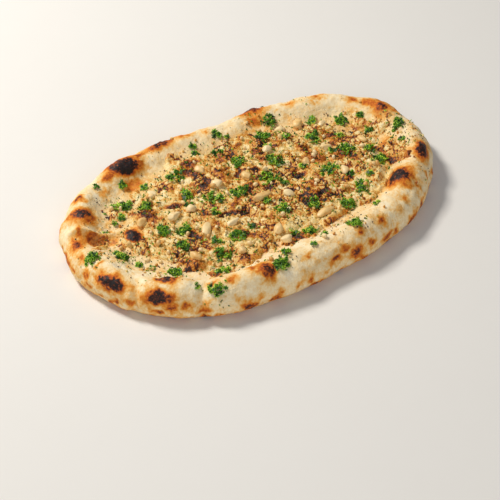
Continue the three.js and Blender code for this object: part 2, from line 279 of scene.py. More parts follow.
# How far the pinches spread past the strewn middle, and how thickly strays lie outside it.
CRUMB_SPREAD = (1.15, 0.012)
CHIP_SPREAD = (1.04, 0.0)
SEED_SPREAD = (1.2, 0.02)
FLECK_SPREAD = (1.12, 0.01)

# Sizes of the grains in mm: the smallest, and how much larger the largest is.
CRUMB_SIZE = (0.3, 1.15)
CHIP_SIZE = (1.3, 1.2)
SEED_SIZE = (0.28, 0.6)
FLECK_SIZE = (0.45, 1.1)

# Heaps of seeds and burnt bits, as shares of the bread.
SEED_HEAPS = [
    (-0.39, 0.23), (-0.24, -0.05), (-0.13, -0.09), (0.25, 0.01), (0.58, 0.29), (0.67, 0.26),
    (0.18, -0.35), (0.65, 0.54), (-0.19, 0.70), (-0.70, -0.04), (-0.69, 0.59), (0.04, -0.48),
]
HEAP_SEEDS = 9
HEAP_SIZE = (2.2 * MM, 1.4 * MM)  # how widely a heap is spread along and across the bread

LEAFLETS = 22  # in a sprig
LEAFLET_REACH = 1.95 * MM
LEAFLET_POINTS = 12  # round a leaflet's rim
LEAFLET_FOLDS = (5, 6, 7)
LEAFLET_LOBE = 0.32  # how deep the lobes of its rim are, as a share of its reach
LEAFLET_FRILL = 0.42  # how far its rim is thrown up and down
LEAFLET_DROOP = (-0.5, 0.35)
LEAFLET_CRUMPLE = 0.12
LEAF_THICKNESS = 0.22 * MM
SPIRAL_STEP = 2.4  # radians from one of a sprig's leaflets to the next
SPRIG_PLAN = (0.43, 0.40)  # how far out its leaflets sit, as shares of its length and breadth
SPRIG_RISE = 1.6 * MM
SPRIG_FOOT = 0.7 * MM
BIT_LEAFLETS = 4  # in a loose bit of leaf
BIT_REACH = 0.36  # of its leaflets, as a share of its size
FLECKS_BY_SPRIG = 14  # that lie round each sprig
FLECK_POINTS = 7
FLECK_LIFT = 0.4 * MM
ANY_WAY = 6.3  # the most that a leaf is turned round, in radians

# Loose bits of parsley leaf: middle as shares of the bread, and size in mm.
LOOSE_LEAVES = [
    (-0.65, 0.74, 5), (-0.52, 0.69, 6), (-0.64, 0.37, 5), (-0.69, 0.33, 4), (-0.08, 0.77, 5),
    (-0.09, 0.7, 6), (0.07, 0.79, 7), (0.11, 0.74, 4), (0.27, 0.6, 7), (0.36, 0.47, 7),
    (0.56, 0.56, 7), (0.77, 0.33, 5), (0.81, -0.16, 5), (-0.31, 0.28, 8), (-0.33, 0.19, 6),
    (0.3, 0.08, 6), (0.51, 0.13, 6), (0.47, -0.2, 7), (0.66, -0.05, 7), (-0.7, -0.26, 4),
    (-0.74, -0.17, 5), (-0.36, -0.3, 6), (0, -0.13, 5), (0.06, -0.75, 5), (-0.03, -0.82, 4),
    (-0.62, -0.69, 4), (-0.25, -0.87, 6), (-0.17, -0.78, 6), (-0.02, -0.54, 5), (0.4, -0.68, 5),
    (0, 0.6, 7), (0.61, 0.25, 6), (0.75, 0.17, 6), (-0.16, -0.3, 5), (0.23, 0.42, 6),
    (-0.43, 0.6, 5), (-0.25, 0, 6), (0.15, 0, 6), (-0.63, 0.53, 4), (0.53, -0.33, 5),
]


def paint(red, green, blue):
    """A colour from a paint chart's 0 to 255 values, as the shader's linear values."""
    chart = np.array([red, green, blue]) / 255
    linear = np.where(chart <= 0.04045, chart / 12.92, ((chart + 0.055) / 1.055) ** 2.4)
    return (*linear, 1.0)


def smooth_step(value, start, end):
    """0 at start, 1 at end, and an even change between them."""
    share = np.clip((value - start) / (end - start), 0, 1)
    return share * share * (3 - 2 * share)


# ---- Noise over the dough, at points given in millimetres ----

WAVER_STEP = Vector((7.3, 3.1, 5.7))  # from one seed's noise to the next
CELL_STEP = Vector((2.9, 8.3, 4.1))
CELL_MIX = np.array([12.99, 78.23, 37.72])  # turn a cell's place into its number
CELL_SCATTER = 43758.5
CELL_REACH = 0.95


def waver(points, size, seed, octaves=2):
    """Soft unevenness, about -1 to 1, whose lumps are size millimetres apart."""
    shift = WAVER_STEP * seed
    return np.array([noise.fractal(Vector(p) / size + shift, 1.0, 2.0, octaves) for p in points])


def bent(points, far, size, seeds):
    """Points moved about by up to far millimetres, so that what is laid over them isn't even."""
    return points + far * np.stack([waver(points, size, seed) for seed in seeds], axis=1)


def cells(points, size, seed):
    """For clumps of a size: distance to the middle, how far inside, and a number for each clump."""
    shift = CELL_STEP * seed
    found = [noise.voronoi(Vector(p) / size + shift) for p in points]
    nearest = np.array([d[0] for d, _ in found])
    inside = np.array([d[1] - d[0] for d, _ in found])
    middles = np.array([m[0] for _, m in found])
    kind = np.sin(middles @ CELL_MIX) * CELL_SCATTER
    return nearest, inside, kind - np.floor(kind)


def dome(nearest):
    """The height of a round-topped clump, from 1 over its middle to 0."""
    return np.sqrt(np.clip(1 - (nearest / CELL_REACH) ** 2, 0, 1))


# ---- Where things are on the bread ----


def shares(points):
    """Along and across shares of points given in metres."""
    return (points[:, 0] - MIDDLE.x) / HALF.x, (points[:, 1] - MIDDLE.y) / HALF.y


def place_at(along, across):
    """The place, in metres and as seen from above, at shares of the bread."""
    return MIDDLE.x + along * HALF.x, MIDDLE.y + across * HALF.y


def reach_from_middle(along, across):
    """0 in the middle of the bread and 1 at its outline."""
    return (np.abs(along) ** PLAN_POWER + np.abs(across) ** PLAN_POWER) ** (1 / PLAN_POWER)


def reach_in(along, across, middle, reach):
    """0 in the middle of a stretch of the bread and 1 where it ends."""
    return reach_from_middle((along - middle[0]) / reach[0], (across - middle[1]) / reach[1])


def topping_share(along, across, wander, spread=1):
    """How thickly the middle is strewn: 1 in the middle, fading to 0 on the rim."""
    out = reach_in(along, across, TOPPING_MIDDLE, TOPPING_REACH) / spread
    return 1 - smooth_step(out + TOPPING_WANDER * wander, *TOPPING_EDGE)


def outside_of(oval, points, dough):
    """How far points, in mm, are outside an oval that bends over the dough: under 0 inside."""
    along, across, length, breadth, turn = oval[:5]
    turn = math.radians(turn)
    seat, outward = dough.seat(*place_at(along, across))
    lengthwise = Vector((math.cos(turn), math.sin(turn), 0))
    lengthwise = (lengthwise - outward * lengthwise.dot(outward)).normalized()
    off = points - np.array(seat) / MM
    a = off @ np.array(lengthwise) / (length / 2)
    b = off @ np.array(outward.cross(lengthwise)) / (breadth / 2)
    c = off @ np.array(outward) / MARK_DEPTH
    return (np.sqrt(a * a + b * b + c * c) - 1) * (length + breadth) / 4


def past_oval(oval, points):
    """How far points, in mm, are outside an oval as seen from above: under 0 inside."""
    along, across, length, breadth, turn = oval[:5]
    turn = math.radians(turn)
    x, y = place_at(along, across)
    east = points[:, 0] - x / MM
    north = points[:, 1] - y / MM
    a = (east * math.cos(turn) + north * math.sin(turn)) / (length / 2)
    b = (north * math.cos(turn) - east * math.sin(turn)) / (breadth / 2)
    return (np.hypot(a, b) - 1) * (length + breadth) / 4


def crease_share(start, end, half_width, points):
    """1 along a crease, fading to 0 to its sides and past its ends."""
    start = np.array(place_at(*start)) / MM
    run = np.array(place_at(*end)) / MM - start
    on = np.clip((points[:, :2] - start) @ run / (run @ run), 0, 1)
    off = np.linalg.norm(points[:, :2] - start - on[:, None] * run, axis=1)
    taper = CREASE_END + (1 - CREASE_END) * np.sin(np.pi * on)
    return taper * np.exp(-((off / half_width) ** 2))


# ---- Meshes ----


def placed(name, data):
    """A new object in the scene."""
    made = bpy.data.objects.new(name, data)
    bpy.context.scene.collection.objects.link(made)
    return made


def new_piece(name, mesh, material):
    """An object of the bread, riding on its one body."""
    piece = placed(name, mesh)
    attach(piece, "root")
    mesh.materials.clear()
    mesh.materials.append(material)
    return piece


def mesh_of(bm, name):
    """The finished mesh of a bmesh."""
    mesh = bpy.data.meshes.new(name)
    bm.to_mesh(mesh)
    bm.free()
    mesh.shade_smooth()
    return mesh


def toned(value):
    """An empty bmesh, and the layer in which its points keep a value."""
    bm = bmesh.new()
    return bm, bm.verts.layers.float.new(value)


def corners(mesh, kind="co"):
    """A mesh's points, or with "normal" their outward directions, as an array."""
    values = np.zeros(len(mesh.vertices) * 3, np.float32)
    mesh.vertices.foreach_get(kind, values)
    return values.reshape(-1, 3).astype(float)


def give(mesh, name, values):
    """Keeps a value for each of the mesh's points, for its material to read."""
    kept_values = mesh.attributes.new(name, "FLOAT", "POINT")
    kept_values.data.foreach_set("value", values.astype(np.float32))


def settle(mesh, place):
    """Moves a mesh's points to new places."""
    mesh.vertices.foreach_set("co", place.astype(np.float32).ravel())
    mesh.update()


# ---- The bread ----


def plain_dough():
    """The CAD bread, evenly divided into small faces with its edges rounded off."""
    bm = bmesh.new()
    bm.from_mesh(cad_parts["naan_bread"].data)
    bmesh.ops.remove_doubles(bm, verts=bm.verts, dist=1e-6)
    blank = placed("dough_blank", mesh_of(bm, "dough_blank"))
    divide = blank.modifiers.new("divide", "REMESH")
    divide.mode = "VOXEL"
    divide.voxel_size = CRUST_GRAIN
    soften = blank.modifiers.new("soften", "SMOOTH")
    soften.factor = 0.5
    soften.iterations = SOFTENING
    bpy.context.view_layer.update()
    done = blank.evaluated_get(bpy.context.evaluated_depsgraph_get())
    mesh = bpy.data.meshes.new_from_object(done)
    bpy.data.objects.remove(blank)
    mesh.name = "naan_crust"
    mesh.shade_smooth()
    return mesh


def browning_of_marks(points, dough):
    """How dark the charred and toasted marks leave the crust."""
    ragged = bent(points, MARK_BEND, size=6, seeds=(11, 12, 13))
    frayed = MARK_FRAY * waver(points, size=3.0, seed=14, octaves=3)
    uneven = waver(points, size=9, seed=15)
    brown = np.zeros(len(points))
    for *oval, ring, depth in CHARRED:
        out = outside_of(oval, ragged, dough)
        glow = np.clip(out + 0.6 * frayed, 0, None) / (ring * (1.25 + 0.6 * uneven))
        halo = HALO * np.exp(-(glow**1.5))
        core = 1 - smooth_step(out + frayed, *CORE_EDGE)
        char = depth - 0.06 - CHAR_PATCHY * np.abs(uneven)
        brown = np.maximum(brown, halo + (char - halo) * core)
    for *oval, ring, depth in TOASTED:
        out = outside_of(oval, ragged, dough) + 0.6 * frayed
        brown = np.maximum(brown, depth * np.exp(-np.clip(out + ring / 2, 0, None) / ring))
    return brown


def browning_of_oven(points, rim, upper, puffs, blotches):
    """How dark the oven left the crust between its marks, and its spotted underside."""
    specks = waver(points, size=5, seed=9)
    patches = blotches + 0.5 * specks
    warm = PLAIN_CRUST + CRUST_BLOTCH * blotches
    warm += 0.12 * rim * smooth_step(0.45 - puffs, 0, 0.4)
    warm += 0.12 * smooth_step(specks, 0.2, 0.6)
    wall = rim * (1 - smooth_step(points[:, 2], *WALL_TOP)) * upper
    warm += wall * (WALL_TOAST[0] + WALL_TOAST[1] * smooth_step(patches, 0.05, 0.5))
    foot = rim * (1 - smooth_step(points[:, 2], *FOOT_TOP))
    warm += foot * (FOOT_TOAST + 0.18 * specks)
    under = UNDERSIDE + UNDERSIDE_BLOTCH * blotches
    under += UNDERSIDE_SPOT * smooth_step(patches, 0.25, 0.6)
    return warm * upper + under * (1 - upper)


def dough_relief(points, dough, strewn, rim, lifted):
    """How far the risen and baked dough stands out from the plain solid, in metres."""
    puffs, _, _ = cells(points, PUFFS[1], seed=3)
    relief = LUMPS[0] * waver(points, LUMPS[1], seed=1, octaves=3)
    relief += PUFFS[0] * rim * (0.45 - puffs)
    relief += WRINKLES[0] * (1 - 0.5 * strewn) * waver(points, WRINKLES[1], seed=2, octaves=3)
    relief += CLUMPS[0] * strewn * waver(points, CLUMPS[1], seed=5)
    for *oval, height in BUBBLES:
        relief += height * MM * lifted * (1 - smooth_step(past_oval(oval, points), -9, 3))
    crackle = 1 + CRACKLE * waver(points, size=2.6, seed=21)
    for mark in CHARRED:
        relief += BLISTER * (1 - smooth_step(outside_of(mark, points, dough), -4, 3)) * crackle
    for start, end, half_width, height in CREASES:
        relief += height * MM * crease_share(start, end, half_width, points)
    return relief, puffs


def strewn_share(points):
    """How thickly the crumb lies, at points in millimetres."""
    thick = topping_share(*shares(points * MM), waver(points, size=24, seed=4))
    for mark in CHARRED:
        thick *= smooth_step(past_oval(mark, points), 0, 3)
    return thick


def naan_crust():
    """The bread, with what its finish reads: browning, and how thickly it is strewn or oiled."""
    mesh = plain_dough()
    place, outward = corners(mesh), corners(mesh, "normal")
    points = place / MM
    along, across = shares(place)
    upper = smooth_step(points[:, 2], *UPPER)
    strewn = strewn_share(points) * (outward[:, 2] > 0)
    rim = smooth_step(reach_from_middle(along, across), *RIM)
    dough = Table(mesh)
    lifted = rim * np.clip(outward[:, 2], 0, 1)
    relief, puffs = dough_relief(points, dough, strewn, rim, lifted)
    dimples = DIMPLES[0] * np.clip(waver(points, DIMPLES[1], seed=7), 0, 1)
    moved = place + outward * (upper * relief - (1 - upper) * dimples)[:, None]
    moved[:, 2] = np.maximum(moved[:, 2], LOW.z)
    settle(mesh, moved)

    blotches = waver(points, size=13, seed=8)
    brown = browning_of_oven(points, rim, upper, puffs, blotches)
    brown = np.maximum(brown, browning_of_marks(points, dough) * upper)
    give(mesh, "browning", np.clip(brown, 0, 1))
    give(mesh, "strewn", strewn)
    out = reach_in(along, across, OILED_MIDDLE, OILED_REACH) + OILED_WANDER * blotches
    give(mesh, "oiled", (1 - smooth_step(out, *OILED_EDGE)) * (outward[:, 2] > 0.3))
    return mesh


class Table:
    """Finished surfaces to seat things on."""

    def __init__(self, *meshes):
        bm = bmesh.new()
        for mesh in meshes:
            bm.from_mesh(mesh)
        self.tree = BVHTree.FromBMesh(bm)
        bm.free()

    def seat(self, x, y):
        """The surface's point and outward direction at a place."""
        found = self.tree.ray_cast(Vector((x, y, 1.0)), Vector((0, 0, -1)))
        if found[0] is None:
            found = self.tree.find_nearest(Vector((x, y, HALF.z)))
        return found[0], found[1]


# ---- The crumb bed ----


def bed_shape(points):
    """The bed's height in mm where it is thick, and its tone from 0 for pale to 1 for burnt, plus
    painted shade in its hollows and clefts.
    """
    flat = points * (1, 1, 0)
    strayed = bent(flat, BED_BEND, size=6, seeds=(31, 32, 33))
    lumps, lump_clefts, lump_kind = cells(strayed, BED_LUMP[0], seed=34)
    clots, clot_clefts, clot_kind = cells(strayed, BED_CLOT[0], seed=35)
    specks, _, speck_kind = cells(flat, BED_SPECK[0], seed=36)
    height = BED_LUMP[1] * dome(lumps) * (0.3 + 0.7 * lump_kind)
    height += BED_CLOT[1] * dome(clots) + BED_SPECK[1] * dome(specks)

    tone = 0.5 * (0.45 * lump_kind + 0.55 * clot_kind) - 0.08
    tone += 0.16 * waver(flat, size=7, seed=40) + 0.22 * (speck_kind - 0.35)
    tone += BED_TOAST * smooth_step(waver(flat, size=17, seed=37), 0.0, 0.5)
    # painted shade: the tone is darkened in the bed's low places and in the clefts between clots,
    # more in some stretches than others
    shade_strength = 0.2 + 0.8 * smooth_step(waver(flat, size=16, seed=38), -0.15, 0.4)
    low = smooth_step(BED_SHADED_BELOW - height, 0, 1.4)
    cleft_shade = 1 - smooth_step(np.minimum(0.7 * clot_clefts, lump_clefts), 0, BED_SHADED_CLEFT)
    painted_shade = np.maximum(low, 0.85 * cleft_shade) * shade_strength
    for *oval, rise, own_tone in BED_PATCHES:
        past = past_oval(oval, strayed) + 1.2 * (clot_kind - 0.5)
        share = 1 - smooth_step(past, -1.8, 1.8)
        height += rise * share
        tone += (own_tone - tone) * share * (1.0 - 0.3 * clot_kind - 0.35 * speck_kind)
    # the painted shade is added to the tone here
    return height, np.clip(tone + 0.85 * painted_shade, 0, 1)


def bed_blank():
    """A flat mesh of small faces over the strewn middle."""
    bm = bmesh.new()
    rows, columns = (round(2 * half / BED_FACE) for half in HALF[:2])
    whole = Matrix.Translation((*MIDDLE[:2], 0)) @ Matrix.Diagonal((*HALF[:2], 1, 1))
    bmesh.ops.create_grid(bm, x_segments=rows, y_segments=columns, size=1, matrix=whole)
    places = np.array([(*v.co[:2], BED_LEVEL * MM) for v in bm.verts])
    bare = strewn_share(places / MM) < BED_THINNEST
    outside = [v for v, is_bare in zip(bm.verts, bare) if is_bare]
    bmesh.ops.delete(bm, geom=outside, context="VERTS")
    return mesh_of(bm, "crumb_bed")


def crumb_bed(table, material):
    """The buttery nut and garlic crumb that baked onto the middle: one layer of fused clumps."""
    mesh = bed_blank()
    place = corners(mesh)
    strewn = strewn_share(place / MM + (0, 0, BED_LEVEL))
    height, tone = bed_shape(place / MM)
    place[:, 2] = [table.seat(x, y)[0].z for x, y, _ in place]
    edge_wander = 0.25 * waver(place / MM, size=5, seed=39)
    thick = smooth_step(strewn + edge_wander, BED_THINNEST, 0.7)
    place[:, 2] += MM * (height * (0.35 + 0.65 * thick) - BED_TUCK * (1 - thick) - BED_SUNK)
    settle(mesh, place)
    # the tone also holds the painted shade of the bed's hollows and clefts
    give(mesh, "tone", tone)
    top = mesh.copy()
    piece = new_piece("crumb_bed", mesh, material)
    body = piece.modifiers.new("body", "SOLIDIFY")
    body.thickness = BED_THICKNESS
    body.offset = -1
    return top


# ---- Nuts ----


def nodes_of(kind):
    """The names of the CAD nodes of a kind, in order."""
    return sorted(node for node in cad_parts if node.startswith(kind))


def footprint(node):
    """A CAD piece of topping as middle, turn, length and breadth, seen from above."""
    plan = np.array([v.co[:2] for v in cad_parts[node].data.vertices])
    middle = (plan.min(0) + plan.max(0)) / 2
    _, axes = np.linalg.eigh(np.cov((plan - middle).T))
    across, along = axes[:, 0], axes[:, 1]
    length, breadth = np.ptp(plan @ along), np.ptp(plan @ across)
    return middle, math.atan2(along[1], along[0]), length, breadth


def chop(bm, verts, cuts, chance):
    """Flattens a round kernel where a knife took it, a little unevenly."""
    for _ in range(cuts):
        facing = Vector((chance.gauss(0, 1), chance.gauss(0, 1), chance.gauss(0.2, 0.7)))
        facing.normalize()
        depth = chance.uniform(*KNIFE_DEPTH)
        for v in verts:
            over = v.co.dot(facing) - depth
            if over > 0:
                v.co -= facing * over * KNIFE_FLATNESS
    bmesh.ops.smooth_vert(
        bm, verts=verts, factor=0.5, use_axis_x=True, use_axis_y=True, use_axis_z=True
    )


def newest(bm, before):
    """The points that a bmesh gained since it had so many."""
    bm.verts.ensure_lookup_table()
    return bm.verts[before:]


def kernel(bm, fineness, cuts, chance):
    """One chopped kernel of about unit radius: 20 faces at fineness 1, 48 at 2 and 320 at 3."""
    before = len(bm.verts)
    if fineness == 2:
        bmesh.ops.create_cube(bm, size=1.2)
        edges = list({e for v in newest(bm, before) for e in v.link_edges})
        bmesh.ops.subdivide_edges(bm, edges=edges, cuts=1, use_grid_fill=True)
        for v in newest(bm, before):
            v.co.normalize()
    else:
        bmesh.ops.create_icosphere(bm, subdivisions=fineness, radius=1)
    verts = newest(bm, before)
    chop(bm, verts, cuts, chance)
    drift = Vector([chance.uniform(0, 50) for _ in range(3)])
    for v in verts:
        v.co *= 1 + 0.09 * noise.noise(v.co * 1.7 + drift)
    return verts


def nut_piece(node, table, material):
    """A large piece of nut in place of its CAD node, pressed into the crust."""
    number = node[-2:]
    middle, turn, length, breadth = footprint(node)
    chance = random.Random(100 + int(number))
    seat, _ = table.seat(*middle)
    height = min(breadth * NUT_HEIGHT_SHARE, NUT_TALLEST)
    bm = bmesh.new()
    verts = kernel(bm, 3, NUT_CUTS, chance)
    size = Matrix.Diagonal((length * NUT_PLAN, breadth * NUT_PLAN, height * NUT_TOP, 1))
    lean = (chance.uniform(-NUT_LEAN, NUT_LEAN), chance.uniform(-NUT_LEAN, NUT_LEAN), turn)
    up = Vector((middle[0], middle[1], seat.z + height * (0.5 - NUT_SUNK)))
    pressed = Matrix.Translation(up) @ Euler(lean).to_matrix().to_4x4() @ size
    bmesh.ops.transform(bm, matrix=pressed, verts=verts)
    mesh = mesh_of(bm, f"nut_piece_{number}")
    give(mesh, "roast", np.full(len(mesh.vertices), chance.uniform(0.02, 0.5)))
    piece = new_piece(mesh.name, mesh, material)
    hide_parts(node)


# ---- Things strewn by the pinch ----


def on_char(x, y):
    """Whether a place is on a charred blister, which nothing stuck to."""
    spot = np.array([[x, y, 0]]) / MM
    return any(past_oval(mark, spot)[0] < 1 for mark in CHARRED)


def strew(count, chance, spread, stray):
    """Places on the bread for count grains: mostly in the strewn middle, with a few strays."""
    found = 0
    while found < count:
        along = chance.uniform(-STREWN_LIMIT[0], STREWN_LIMIT[0])
        across = chance.uniform(-STREWN_LIMIT[1], STREWN_LIMIT[1])
        if reach_from_middle(along, across) > STREWN_LIMIT[0]:
            continue
        wander = noise.noise(Vector((along * 6, across * 4, 3.7)))
        thick = float(topping_share(along, across, wander, spread))
        x, y = place_at(along, across)
        if chance.random() < max(thick, stray) and not on_char(x, y):
            found += 1
            yield x, y


def grain(bm, shade_layer, fineness, cuts, size, seat, sunk, shade, chance):
    """One grain of topping, turned at random and pressed into the crust."""
    verts = kernel(bm, fineness, cuts, chance)
    for v in verts:
        v[shade_layer] = shade
    stretch = Matrix.Diagonal((chance.uniform(0.9, 1.5), chance.uniform(0.8, 1.1), 0.8, 1))
    turn = Euler([chance.uniform(0, math.tau) for _ in range(3)]).to_matrix().to_4x4()
    lift = Vector((0, 0, size * (1 - sunk)))
    pressed = Matrix.Translation(seat + lift) @ turn @ stretch @ Matrix.Scale(size, 4)
    bmesh.ops.transform(bm, matrix=pressed, verts=verts)


def joined(name, batches):
    """One mesh from many small ones, which are quicker to add to than a large one."""
    whole = bmesh.new()
    for batch in batches:
        mesh = mesh_of(batch, "batch")
        whole.from_mesh(mesh)
        bpy.data.meshes.remove(mesh)
    return mesh_of(whole, name)


def crumb_batches(table, chance):
    """The loose crumb, a batch at a time, toned like the bed that each grain lies on, painted shade
    included.
    """
    places = list(strew(CRUMBS, chance, *CRUMB_SPREAD))
    _, tones = bed_shape(np.array([(x, y, 0) for x, y in places]) / MM)
    for start in range(0, len(places), BATCH):
        bm, shade = toned("tone")
        batch = slice(start, start + BATCH)
        for (x, y), tone in zip(places[batch], tones[batch]):
            seat, _ = table.seat(x, y)
            size = (CRUMB_SIZE[0] + CRUMB_SIZE[1] * chance.random() ** 5) * MM
            # a grain lying in a cleft takes the bed's painted shade into its own tone
            own = 0.7 * float(tone) + 0.4 * chance.random() ** 1.8
            fineness = 2 if size > 0.9 * MM else 1
            grain(bm, shade, fineness, 1, size, seat, 0.55, own, chance)
        yield bm


def crumbs(table, material):
    """The granular nut and garlic crumb, from pale to toasted."""
    mesh = joined("topping_crumbs", crumb_batches(table, random.Random(7)))
    new_piece("topping_crumbs", mesh, material)


def nut_chips(table, material):
    """Smaller chips of nut among the crumb."""
    chance = random.Random(23)
    bm, roast = toned("roast")
    for x, y in strew(NUT_CHIPS, chance, *CHIP_SPREAD):
        seat, _ = table.seat(x, y)
        size = (CHIP_SIZE[0] + CHIP_SIZE[1] * chance.random()) * MM
        grain(bm, roast, 2, 3, size, seat, 0.4, chance.uniform(0, 0.7), chance)
    new_piece("nut_chips", mesh_of(bm, "nut_chips"), material)


def seeds(table, material):
    """Dark seeds and burnt bits, singly and in little heaps."""
    chance = random.Random(41)
    bm, shade = toned("shade")
    places = list(strew(SEEDS, chance, *SEED_SPREAD))
    for heap in SEED_HEAPS:
        x, y = place_at(*heap)
        for _ in range(HEAP_SEEDS):
            places.append((x + chance.gauss(0, HEAP_SIZE[0]), y + chance.gauss(0, HEAP_SIZE[1])))
    for x, y in places:
        seat, _ = table.seat(x, y)
        size = (SEED_SIZE[0] + SEED_SIZE[1] * chance.random() ** 2) * MM
        grain(bm, shade, 1, 1, size, seat, 0.4, chance.random(), chance)
    new_piece("dark_seeds", mesh_of(bm, "dark_seeds"), material)


# ---- Parsley ----


def tilted(chance, most):
    """A random turn that tilts a leaf by up to so many radians."""
    lean = (chance.uniform(-most, most), chance.uniform(-most, most), chance.uniform(0, ANY_WAY))
    return Euler(lean).to_matrix().to_4x4()


def leaflet(bm, layer, reach, folds, points, laid, chance):
    """A frilled leaflet: a disc whose rim is drawn into lobes and thrown into folds."""
    before = len(bm.verts)
    bmesh.ops.create_circle(bm, cap_ends=True, cap_tris=True, segments=points, radius=1)
    if points > FLECK_POINTS:
        edges = list({e for v in newest(bm, before) for e in v.link_edges})
        bmesh.ops.subdivide_edges(bm, edges=edges, cuts=1, use_grid_fill=True)
    verts = newest(bm, before)
    phase, droop = chance.uniform(0, math.tau), chance.uniform(*LEAFLET_DROOP)
    fresh = chance.uniform(0.35, 1.0)
    for v in verts:
        out = min(1.0, v.co.length)
        angle = math.atan2(v.co.y, v.co.x)
        lobe = 1 + LEAFLET_LOBE * out * math.sin((folds + 1) * angle + 2 * phase)
        rise = (LEAFLET_FRILL * math.sin(folds * angle + phase) + droop) * out * out
        rise += LEAFLET_CRUMPLE * chance.uniform(-1, 1) * out
        v.co = Vector((v.co.x * lobe, v.co.y * lobe * 0.85, rise))
        # painted highlight and shade: brighter towards the leaflet's rim and darker in its middle,
        # scaled by the leaflet's own random freshness
        v[layer] = 0.01 + out * fresh
    bmesh.ops.transform(bm, matrix=laid @ Matrix.Scale(reach, 4), verts=verts)


def leafy(bm, name, material):
    """A piece of leaf: the flat leaflets given their thickness."""
    mesh = mesh_of(bm, name)
    piece = new_piece(name, mesh, material)
    thick = piece.modifiers.new("thickness", "SOLIDIFY")
    thick.thickness = LEAF_THICKNESS
    thick.offset = 0
    return piece


def sprig(node, table, material):
    """A sprig of curly parsley in place of its CAD node: a heap of frilled leaflets."""
    number = node[-2:]
    middle, turn, length, breadth = footprint(node)
    chance = random.Random(300 + int(number))
    bm, edge_light_and_freshness = toned("edge_light_and_freshness")
    for i in range(LEAFLETS):
        angle = i * SPIRAL_STEP + chance.uniform(-0.7, 0.7)
        out = math.sqrt((i + 0.5) / LEAFLETS) * chance.uniform(0.75, 1.2)
        along = math.cos(angle) * out * length * SPRIG_PLAN[0]
        across = math.sin(angle) * out * breadth * SPRIG_PLAN[1]
        off = Vector((along, across))
        off.rotate(Matrix.Rotation(turn, 2))
        x, y = middle[0] + off.x, middle[1] + off.y
        seat, _ = table.seat(x, y)
        heaped = SPRIG_RISE * max(0.1, 1 - 0.8 * out) * chance.uniform(0.6, 1.1)
        tilt = tilted(chance, 0.9)
        laid = Matrix.Translation((x, y, seat.z + heaped + SPRIG_FOOT)) @ tilt
        reach = LEAFLET_REACH * chance.uniform(0.6, 1.0)
        leaflet(bm, edge_light_and_freshness, reach, chance.choice(LEAFLET_FOLDS), LEAFLET_POINTS, laid, chance)
    piece = leafy(bm, f"parsley_sprig_{number}", material)
    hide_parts(node)


def loose_leaves(table, material):
    """Bits of leaf of a few leaflets each."""
    chance = random.Random(83)
    bm, edge_light_and_freshness = toned("edge_light_and_freshness")
    for along, across, size in LOOSE_LEAVES:
        middle = place_at(along, across)
        reach = size * BIT_REACH * MM
        for i in range(BIT_LEAFLETS):
            angle = i * 1.7 + chance.uniform(-0.5, 0.5)
            x = middle[0] + math.cos(angle) * size * 0.3 * MM
            y = middle[1] + math.sin(angle) * size * 0.3 * MM
            seat, _ = table.seat(x, y)
            tilt = tilted(chance, 0.8)
            up = Vector((0, 0, chance.uniform(0.6, 1.6) * MM))
            laid = Matrix.Translation(seat + up) @ tilt
            leaflet(bm, edge_light_and_freshness, reach, chance.choice(LEAFLET_FOLDS), LEAFLET_POINTS, laid, chance)
    leafy(bm, "parsley_bits", material)


def flecks(table, material):
    """Small slender bits of leaf that fell from the knife, more of them round each sprig."""
    chance = random.Random(59)
    bm, edge_light_and_freshness = toned("edge_light_and_freshness")
    places = list(strew(FLECKS, chance, *FLECK_SPREAD))
    for node in nodes_of("parsley_"):
        (x, y), _, length, _ = footprint(node)
        for _ in range(FLECKS_BY_SPRIG):
            places.append((x + chance.gauss(0, length / 2), y + chance.gauss(0, length / 2)))
    for x, y in places:
        seat, _ = table.seat(x, y)
        tilt = tilted(chance, 0.7)
        slender = Matrix.Diagonal((1, chance.uniform(0.25, 0.6), 1, 1))
        laid = Matrix.Translation(seat + Vector((0, 0, FLECK_LIFT))) @ tilt @ slender
        reach = (FLECK_SIZE[0] + FLECK_SIZE[1] * chance.random() ** 2) * MM
        leaflet(bm, edge_light_and_freshness, reach, 3, FLECK_POINTS, laid, chance)
    leafy(bm, "parsley_flecks", material)


# ---- Materials ----


def put(tree, kind, inputs=None, **settings):
    """A node in a shader tree, with its settings and with its inputs set or joined."""
    made = tree.nodes.new(kind)
    for name, value in settings.items():
        setattr(made, name, value)
    for name, value in (inputs or {}).items():
        if isinstance(value, bpy.types.NodeSocket):
            tree.links.new(value, made.inputs[name])
        else:
            made.inputs[name].default_value = value
    return made


def sums(tree, operation, first, second, third=0.0, clamp=False):
    """The result of a sum on two or three values, such as MULTIPLY_ADD."""
    inputs = {0: first, 1: second, 2: third}
    return put(tree, "ShaderNodeMath", inputs, operation=operation, use_clamp=clamp).outputs[0]


def mixed(tree, share, first, second, blend="MIX"):
    """Two colours mixed by a share."""
    inputs = {0: share, 6: first, 7: second}
    made = put(tree, "ShaderNodeMix", inputs, data_type="RGBA", blend_type=blend)
    return made.outputs[2]


def scale_of_colours(tree, share, stops):
    """A colour that goes through stops of share, red, green and blue."""
    ramp = put(tree, "ShaderNodeValToRGB", {0: share})
    spare = ramp.color_ramp.elements
    while len(spare) < len(stops):
        spare.new(1.0)
    for element, (at, *colour) in zip(spare, stops):
        element.position = at
        element.color = paint(*colour)
    return ramp.outputs[0]


def step_up(tree, value, start, end):
    """0 below start and 1 above end."""
    inputs = {"Value": value, "From Min": start, "From Max": end}
    return put(tree, "ShaderNodeMapRange", inputs, interpolation_type="SMOOTHSTEP").outputs[0]


